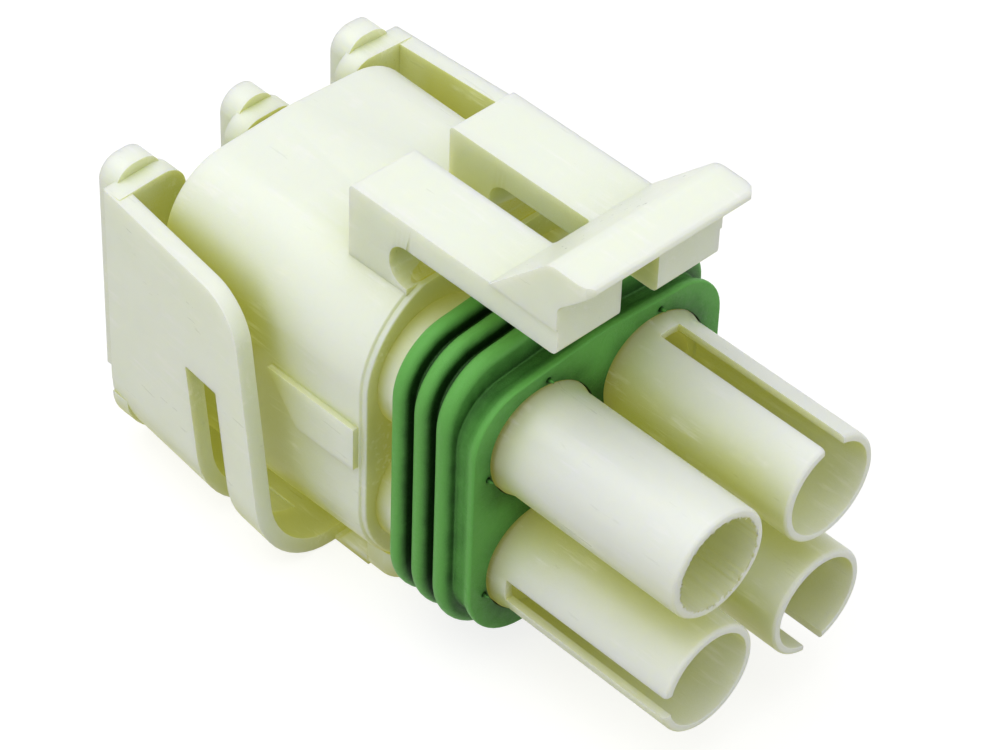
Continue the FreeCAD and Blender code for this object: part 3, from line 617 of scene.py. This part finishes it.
def rear_lock():
    """Side walls with windows, a bottom wall, a cross wall and three fingers."""
    bm = bmesh.new()
    skin(bm, [lock_section(bm, LOCK_HALF_FRONT, LOCK_FRONT), lock_section(bm, LOCK_HALF_REAR, LOCK_REAR)])
    lock = finished("rear_lock_shell", bm)
    side_view = [(LOCK_FRONT, -10.6), (LOCK_REAR + 0.2, -10.6), (LOCK_REAR + 0.2, 7.65), (27.4, 7.1, 3.0)]
    carve(lock, [prism_piece("side_view", side_view, side_at(-14), (28, 0, 0))], "INTERSECT")
    slant = (WINDOW_HIGH - WINDOW_LOW) * LEAN
    window = [(WINDOW_FRONT - slant, WINDOW_LOW), (WINDOW_REAR - slant, WINDOW_LOW, 0.4),
              (WINDOW_REAR, WINDOW_HIGH, 0.15), (WINDOW_FRONT, WINDOW_HIGH)]
    carve(lock, [prism_piece("window", window, side_at(start), (6.8, 0, 0)) for start in (-14, 7.2)])
    cross = [(-LOCK_HALF_REAR, LOCK_BOTTOM, LOCK_CORNER), (LOCK_HALF_REAR, LOCK_BOTTOM, LOCK_CORNER),
             (LOCK_HALF_REAR, CROSS_TOP), (-LOCK_HALF_REAR, CROSS_TOP)]
    joined = [prism_piece("cross", cross, across_at(CROSS_FRONT), (0, LOCK_REAR - CROSS_FRONT, 0))]
    for x, lean in ((-PITCH_X, -1), (0, 0), (PITCH_X, 1)):
        joined += finger(x, lean)
    carve(lock, joined, "UNION")
    return ease(lock, 0.24, 4)


lock = dress(rear_lock(), NYLON)
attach(lock, "rear_lock")
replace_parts(lock, "rear_lock")

# Strap under the body, thinned to a living hinge where it meets the lock's bottom wall
HINGE_FRONT = 24.3
HINGE_REAR = 25.0
HINGE_TOP = -10.15
HINGE_CUTS = 7
strap_front = BLOCK_REAR - 0.1
strap_view = [(strap_front, STRAP_BOTTOM), (HINGE_REAR, STRAP_BOTTOM), (HINGE_REAR, HINGE_TOP),
              (24.55, HINGE_TOP), (24.2, STRAP_TOP, 0.2), (strap_front, STRAP_TOP)]
hinge = prism_piece("hinge_strap", strap_view, side_at(-STRAP_HALF), (2 * STRAP_HALF, 0, 0))
divide(hinge, [HINGE_FRONT + (HINGE_REAR - HINGE_FRONT) * cut / HINGE_CUTS for cut in range(1, HINGE_CUTS)])
dress(hinge, NYLON)

# Interface seal: round ribs behind a flat flange, with an oval relief around each tower
RIB_FIRST = 14.4
RIB_SPACING = 1.6
RIB_HALF = 0.5
RIB_FOOT = 0.58
RIB_DEPTH = 0.85
CREST_HALF = 9.25
FLANGE_INSET = 0.38
FLANGE_THICKNESS = 0.35
FLANGE_LIFT = 0.35
FLANGE_DROP = 0.87
DIP = 0.3
RELIEF_RADIUS = 3.88
RELIEF_SQUEEZE = 0.87
RELIEF_TILT = -38
NUB_RADIUS = 3.85
NUB_ANGLES = (87, 187)


def seal_section(bm, inset, along, lift=0.0, drop=0.0):
    """The seal's outline, set in from a rib's crest, its lower edge lifted and its upper one dropped."""
    half = CREST_HALF - inset
    low = half - 0.45 - lift
    high = half + 0.15 - drop
    corners = bulged(half, high, high + 0.75, 3.6 - inset, low, low + 0.75, 4.6 - inset)
    return outline(bm, corners, across_at(along))


def ring_seal():
    """Flange, a shallow dip and three ribs as one skin, their edges rounded, then bored for the towers."""
    bm = bmesh.new()
    stations = ((SEAL_FRONT, 0), (SEAL_FRONT + FLANGE_THICKNESS, 0), (SEAL_FRONT + 1.0, DIP),
                (RIB_FIRST - RIB_FOOT, DIP))
    flange = [seal_section(bm, FLANGE_INSET + dip, along, FLANGE_LIFT, FLANGE_DROP)
              for along, dip in stations]
    sections = flange[:]
    crests, feet = [], []
    for order in range(3):
        middle = RIB_FIRST + order * RIB_SPACING
        if order:
            feet.append(seal_section(bm, RIB_DEPTH, middle - RIB_FOOT))
            sections.append(feet[-1])
        crests += [seal_section(bm, 0, middle - RIB_HALF), seal_section(bm, 0, middle + RIB_HALF)]
        feet.append(seal_section(bm, RIB_DEPTH, middle + RIB_FOOT))
        sections += crests[-2:] + [feet[-1]]
    sections.append(seal_section(bm, RIB_DEPTH, SEAL_REAR))
    skin(bm, sections)
    for edges, offset, steps in [(crest, 0.46, 6) for crest in crests] + [(foot, 0.12, 2) for foot in feet]:
        round_edges(bm, edges, offset, steps)
    for edges, offset in zip(flange, (0.12, 0.12, 0.2, 0.1)):
        round_edges(bm, edges, offset, 3)
    seal = finished("ring_seal", bm)
    holes = [rod_piece("hole", centre, TOWER_ROOT_RADIUS - 0.02, SEAL_FRONT - 1, SEAL_REAR + 1)
             for centre in CENTRES]
    reliefs = [rod_piece("relief", centre, RELIEF_RADIUS, SEAL_FRONT - 1, SEAL_FRONT + 1.5, RELIEF_SQUEEZE,
                         RELIEF_TILT) for centre in CENTRES]
    carve(seal, holes + reliefs)
    return ease(seal, 0.07, 2, 40)


seal = ring_seal()
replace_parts(dress(seal, SILICONE), "interface_seal")
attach(seal, "housing")


def seal_nubs(name, centre):
    """Torn gate marks that stand on the seal's face at the ends of a relief."""
    bm = bmesh.new()
    for angle in NUB_ANGLES:
        turn = math.radians(angle)
        cone = bmesh.ops.create_cone(bm, cap_ends=True, segments=10, radius1=0.2, radius2=0.03, depth=0.45)
        made = cone["verts"]
        bmesh.ops.rotate(bm, cent=(0, 0, 0), matrix=Matrix.Rotation(math.radians(82), 3, "X"), verts=made)
        spot = (centre[0] + NUB_RADIUS * math.cos(turn), SEAL_FRONT - 0.15,
                centre[1] + NUB_RADIUS * math.sin(turn))
        bmesh.ops.translate(bm, vec=spot, verts=made)
    nubs = dress(finished(name, bm), SILICONE)
    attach(nubs, "housing")
    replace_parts(nubs, "interface_seal")


for number, centre in enumerate(CENTRES, start=1):
    seal_nubs("seal_gate_marks_%d" % number, centre)

# Contacts and cable seals keep their own shapes
INNER_FINISHES = {"contact_pin": TIN, "cable_seal": SILICONE}
for name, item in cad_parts.items():
    for kind, material in INNER_FINISHES.items():
        if name.startswith(kind):
            item.data.materials.clear()
            item.data.materials.append(material)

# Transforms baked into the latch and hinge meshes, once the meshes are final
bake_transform(latch)
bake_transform(hinge)


def table_top():
    """Matt white laminate that stays white to the camera, with the object's shadow left on it."""
    material, tree, shader = blank_material("matt white laminate")
    place = add(tree, "ShaderNodeTexCoord").outputs["Object"]
    mottle = add(tree, "ShaderNodeTexNoise", {"Vector": place, "Scale": lumps(40.0),
                                              "Detail": 2.0}).outputs["Fac"]
    pale = add(tree, "ShaderNodeMix", {0: mottle, 6: linear("#A6A698"), 7: linear("#ACAC9E")},
               data_type="RGBA").outputs[2]
    tree.links.new(pale, shader.inputs["Base Color"])
    shader.inputs["Roughness"].default_value = 0.9
    path = add(tree, "ShaderNodeLightPath").outputs
    shown = path["Is Camera Ray"]
    for kind in ("Is Glossy Ray", "Is Transmission Ray"):
        shown = add(tree, "ShaderNodeMath", {0: shown, 1: path[kind]}, operation="MAXIMUM").outputs[0]
    shadowed = add(tree, "ShaderNodeBsdfDiffuse", {"Color": linear("#9A9A98")}).outputs[0]
    white = add(tree, "ShaderNodeEmission", {"Color": linear("#FFFFFF"), "Strength": 0.79}).outputs[0]
    faint = add(tree, "ShaderNodeAddShader", {0: shadowed, 1: white}).outputs[0]
    mixed = add(tree, "ShaderNodeMixShader", {0: shown, 1: shader.outputs[0], 2: faint}).outputs[0]
    tree.links.new(mixed, tree.nodes["Material Output"].inputs["Surface"])
    return material


# Floor just under the connector
FLOOR_HALF = 900
FLOOR_GAP = 0.05
bm = bmesh.new()
bmesh.ops.create_grid(bm, x_segments=1, y_segments=1, size=FLOOR_HALF)
bmesh.ops.translate(bm, vec=(0, 0, STRAP_BOTTOM - FLOOR_GAP), verts=bm.verts)
floor = finished("floor", bm)
floor.data.materials.append(table_top())

# Light: a soft box overhead, weaker ones at the left and front, and a white room, brighter toward its ceiling
AIM = Vector((0, 20, 2))
SOFT_BOXES = (
    ("overhead", (-60, 60, 260), 360, 0.45),
    ("left", (-260, 20, 90), 180, 0.12),
    ("front", (90, -240, 110), 180, 0.12))
for name, spot, size, power in SOFT_BOXES:
    lamp = bpy.data.lights.new(name + " soft box", "AREA")
    lamp.shape = "SQUARE"
    lamp.size = size * MM
    lamp.energy = power
    box = bpy.data.objects.new(name + " soft box", lamp)
    box.location = Vector(spot) * MM
    box.rotation_euler = (AIM - Vector(spot)).to_track_quat("-Z", "Y").to_euler()
    bpy.context.scene.collection.objects.link(box)

world = bpy.data.worlds.new("white room")
bpy.context.scene.world = world
world.use_nodes = True
room = world.node_tree.nodes["Background"]
toward = add(world.node_tree, "ShaderNodeTexCoord").outputs["Generated"]
height = add(world.node_tree, "ShaderNodeSeparateXYZ", {0: toward}).outputs["Z"]
room_light = add(world.node_tree, "ShaderNodeMapRange", {"Value": height, "From Min": 0.0, "From Max": 0.9,
                                                         "To Min": 0.2, "To Max": 0.66}).outputs["Result"]
path = add(world.node_tree, "ShaderNodeLightPath").outputs
seen = room_light
for kind in ("Is Camera Ray", "Is Glossy Ray", "Is Transmission Ray"):
    seen = add(world.node_tree, "ShaderNodeMath", {0: seen, 1: path[kind]}, operation="MAXIMUM").outputs[0]
room.inputs["Color"].default_value = linear("#FFFFFF")
world.node_tree.links.new(seen, room.inputs["Strength"])

# Camera: a long lens in front, to the left and above, rolled a little
AZIMUTH = math.radians(-45.53)
ELEVATION = math.radians(42.22)
ROLL = math.radians(2.235)
LENS = 149.19
STAND = Vector((-114.58, -93.04, 146.78))
look = Vector((-math.sin(AZIMUTH) * math.cos(ELEVATION), math.cos(AZIMUTH) * math.cos(ELEVATION),
               -math.sin(ELEVATION)))
lens = bpy.data.cameras.new("camera")
lens.sensor_width = 36
lens.lens = LENS
lens.clip_start = 0.01
lens.clip_end = 10
camera = bpy.data.objects.new("camera", lens)
camera.location = STAND * MM
camera.rotation_euler = (look.to_track_quat("-Z", "Y").to_matrix() @ Matrix.Rotation(ROLL, 3, "Z")).to_euler()
bpy.context.scene.collection.objects.link(camera)
bpy.context.scene.camera = camera
bpy.context.scene.view_settings.view_transform = "Standard"
